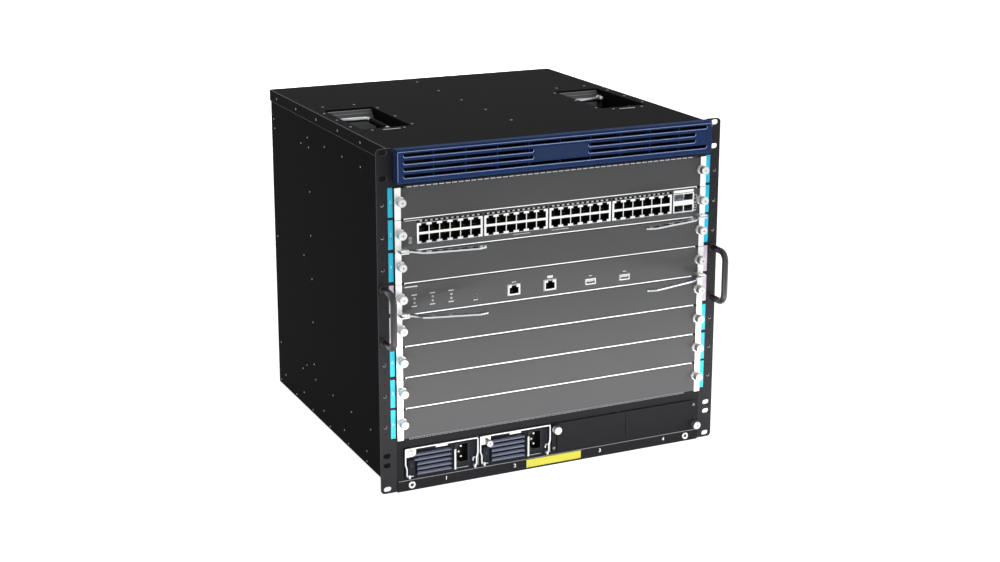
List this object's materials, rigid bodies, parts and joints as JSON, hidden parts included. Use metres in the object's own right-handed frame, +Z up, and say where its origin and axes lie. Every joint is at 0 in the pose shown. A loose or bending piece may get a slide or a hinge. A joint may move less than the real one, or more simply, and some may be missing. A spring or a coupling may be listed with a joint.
{
  "type": "modular chassis switch",
  "caption": "Rack-mounted modular network chassis with horizontal card slots, a slotted fan bezel, sliding cards with levers, and pull-out power supplies.",
  "frame": {"origin": "centre of the flat underside of the body, midway between its side walls and between the ears and the rear panel", "axes": "+Z up, +Y from the card slots towards the rear panel, +X to the right of someone facing the card slots"},
  "size_m": [0.4826, 0.5127, 0.4432],
  "materials": {
    "body_black": "satin",
    "cover_grey": "satin",
    "ear_grey": "satin",
    "plated_steel": "satin",
    "bright_nickel": "polished",
    "panel_grey": "satin",
    "card_grey": "satin",
    "bezel_blue": "satin",
    "handle_black": "satin",
    "frame_black": "satin",
    "board_green": "satin",
    "connector_cream": "matte",
    "guide_black": "matte",
    "port_metal": "satin",
    "plug_grey": "matte",
    "fan_black": "satin",
    "grille_slate": "satin",
    "inlet_black": "satin",
    "button_white": "satin"
  },
  "bodies": {
    "chassis": {"chassis_shell": "body_black", "top_cover": "cover_grey", "rear_panel": "body_black", "rack_ear_left": "ear_grey", "rack_ear_right": "ear_grey", "ear_handles": "handle_black", "handle_pans": "cover_grey", "handle_brackets": "plated_steel", "fan_shelf": "plated_steel", "power_cage": "frame_black", "bay_dividers": "plated_steel", "backplane": "board_green", "mating_headers": "connector_cream", "card_guides": "guide_black", "slot_rails": "plated_steel", "esd_jacks": "bright_nickel", "filler_brackets": "plated_steel", "panel_thumbscrews": "bright_nickel", "filler_panel_1": "panel_grey", "filler_panel_3": "panel_grey", "filler_panel_m2": "panel_grey", "filler_panel_4": "panel_grey", "filler_panel_5": "panel_grey", "filler_panel_6": "panel_grey", "power_blank_3": "frame_black", "power_blank_4": "frame_black"},
    "line_card": {"line_card_panel": "card_grey", "line_card_board": "board_green", "line_card_hardware": "plated_steel", "rj45_blocks": "port_metal", "sfp_cage": "port_metal"},
    "dust_plug": {"sfp_dust_plug": "plug_grey"},
    "line_lever_left": {"line_card_lever_left": "panel_grey"},
    "line_lever_right": {"line_card_lever_right": "panel_grey"},
    "main_card": {"main_card_panel": "card_grey", "main_card_board": "board_green", "main_card_hardware": "plated_steel", "main_card_sockets": "port_metal"},
    "main_lever_left": {"main_card_lever_left": "panel_grey"},
    "main_lever_right": {"main_card_lever_right": "panel_grey"},
    "reset": {"reset_button": "button_white"},
    "fan_unit": {"fan_bezel": "bezel_blue", "fan_tray": "plated_steel", "blower_housings": "fan_black"},
    "rotor_1": {"blower_rotor_1": "fan_black"},
    "rotor_2": {"blower_rotor_2": "fan_black"},
    "rotor_3": {"blower_rotor_3": "fan_black"},
    "supply_1": {"psu_1_case": "frame_black", "psu_1_grille": "grille_slate", "psu_1_inlet": "inlet_black", "psu_1_hardware": "bright_nickel"},
    "supply_1_bail": {"psu_1_bail": "bright_nickel"},
    "supply_2": {"psu_2_case": "frame_black", "psu_2_grille": "grille_slate", "psu_2_inlet": "inlet_black", "psu_2_hardware": "bright_nickel"},
    "supply_2_bail": {"psu_2_bail": "bright_nickel"},
    "lift_left": {"lift_handle_left": "handle_black"},
    "lift_right": {"lift_handle_right": "handle_black"}
  },
  "joints": [
    {"name": "line_card_slide", "type": "slide", "parent": "chassis", "child": "line_card", "axis": [0, -1, 0], "range_m": [0, 0.32]},
    {"name": "dust_plug_slide", "type": "slide", "parent": "line_card", "child": "dust_plug", "axis": [0, -1, 0], "range_m": [0, 0.03]},
    {"name": "main_card_slide", "type": "slide", "parent": "chassis", "child": "main_card", "axis": [0, -1, 0], "range_m": [0, 0.32]},
    {"name": "line_lever_left_hinge", "type": "hinge", "parent": "line_card", "child": "line_lever_left", "pos_m": [-0.211, -0.2427, 0.31614], "axis": [0, 0, -1], "range_deg": [0, 60]},
    {"name": "line_lever_right_hinge", "type": "hinge", "parent": "line_card", "child": "line_lever_right", "pos_m": [0.211, -0.2427, 0.31614], "axis": [0, 0, 1], "range_deg": [-4, 56]},
    {"name": "main_lever_left_hinge", "type": "hinge", "parent": "main_card", "child": "main_lever_left", "pos_m": [-0.211, -0.2427, 0.23486], "axis": [0, 0, -1], "range_deg": [-5.5, 54.5]},
    {"name": "main_lever_right_hinge", "type": "hinge", "parent": "main_card", "child": "main_lever_right", "pos_m": [0.211, -0.2427, 0.23486], "axis": [0, 0, 1], "range_deg": [-6.5, 53.5]},
    {"name": "reset_press", "type": "slide", "parent": "main_card", "child": "reset", "axis": [0, 1, 0], "range_m": [0, 0.001], "stiffness_N_per_m": 400},
    {"name": "fan_tray_slide", "type": "slide", "parent": "chassis", "child": "fan_unit", "axis": [0, -1, 0], "range_m": [0, 0.15]},
    {"name": "rotor_1_spin", "type": "hinge", "parent": "fan_unit", "child": "rotor_1", "pos_m": [-0.134, -0.176, 0.41412], "axis": [0, 0, 1], "continuous": true},
    {"name": "rotor_2_spin", "type": "hinge", "parent": "fan_unit", "child": "rotor_2", "pos_m": [0, -0.176, 0.41412], "axis": [0, 0, 1], "continuous": true},
    {"name": "rotor_3_spin", "type": "hinge", "parent": "fan_unit", "child": "rotor_3", "pos_m": [0.134, -0.176, 0.41412], "axis": [0, 0, 1], "continuous": true},
    {"name": "supply_1_slide", "type": "slide", "parent": "chassis", "child": "supply_1", "axis": [0, -1, 0], "range_m": [0, 0.31]},
    {"name": "supply_1_bail_hinge", "type": "hinge", "parent": "supply_1", "child": "supply_1_bail", "pos_m": [-0.15945, -0.2353, 0.0199], "axis": [1, 0, 0], "range_deg": [0, 90]},
    {"name": "supply_2_slide", "type": "slide", "parent": "chassis", "child": "supply_2", "axis": [0, -1, 0], "range_m": [0, 0.31]},
    {"name": "supply_2_bail_hinge", "type": "hinge", "parent": "supply_2", "child": "supply_2_bail", "pos_m": [-0.05595, -0.2353, 0.0199], "axis": [1, 0, 0], "range_deg": [0, 90]},
    {"name": "lift_left_hinge", "type": "hinge", "parent": "chassis", "child": "lift_left", "pos_m": [-0.1995, -0.024, 0.42982], "axis": [0, -1, 0], "range_deg": [0, 90]},
    {"name": "lift_right_hinge", "type": "hinge", "parent": "chassis", "child": "lift_right", "pos_m": [0.1995, -0.024, 0.42982], "axis": [0, 1, 0], "range_deg": [0, 90]}
  ]
}
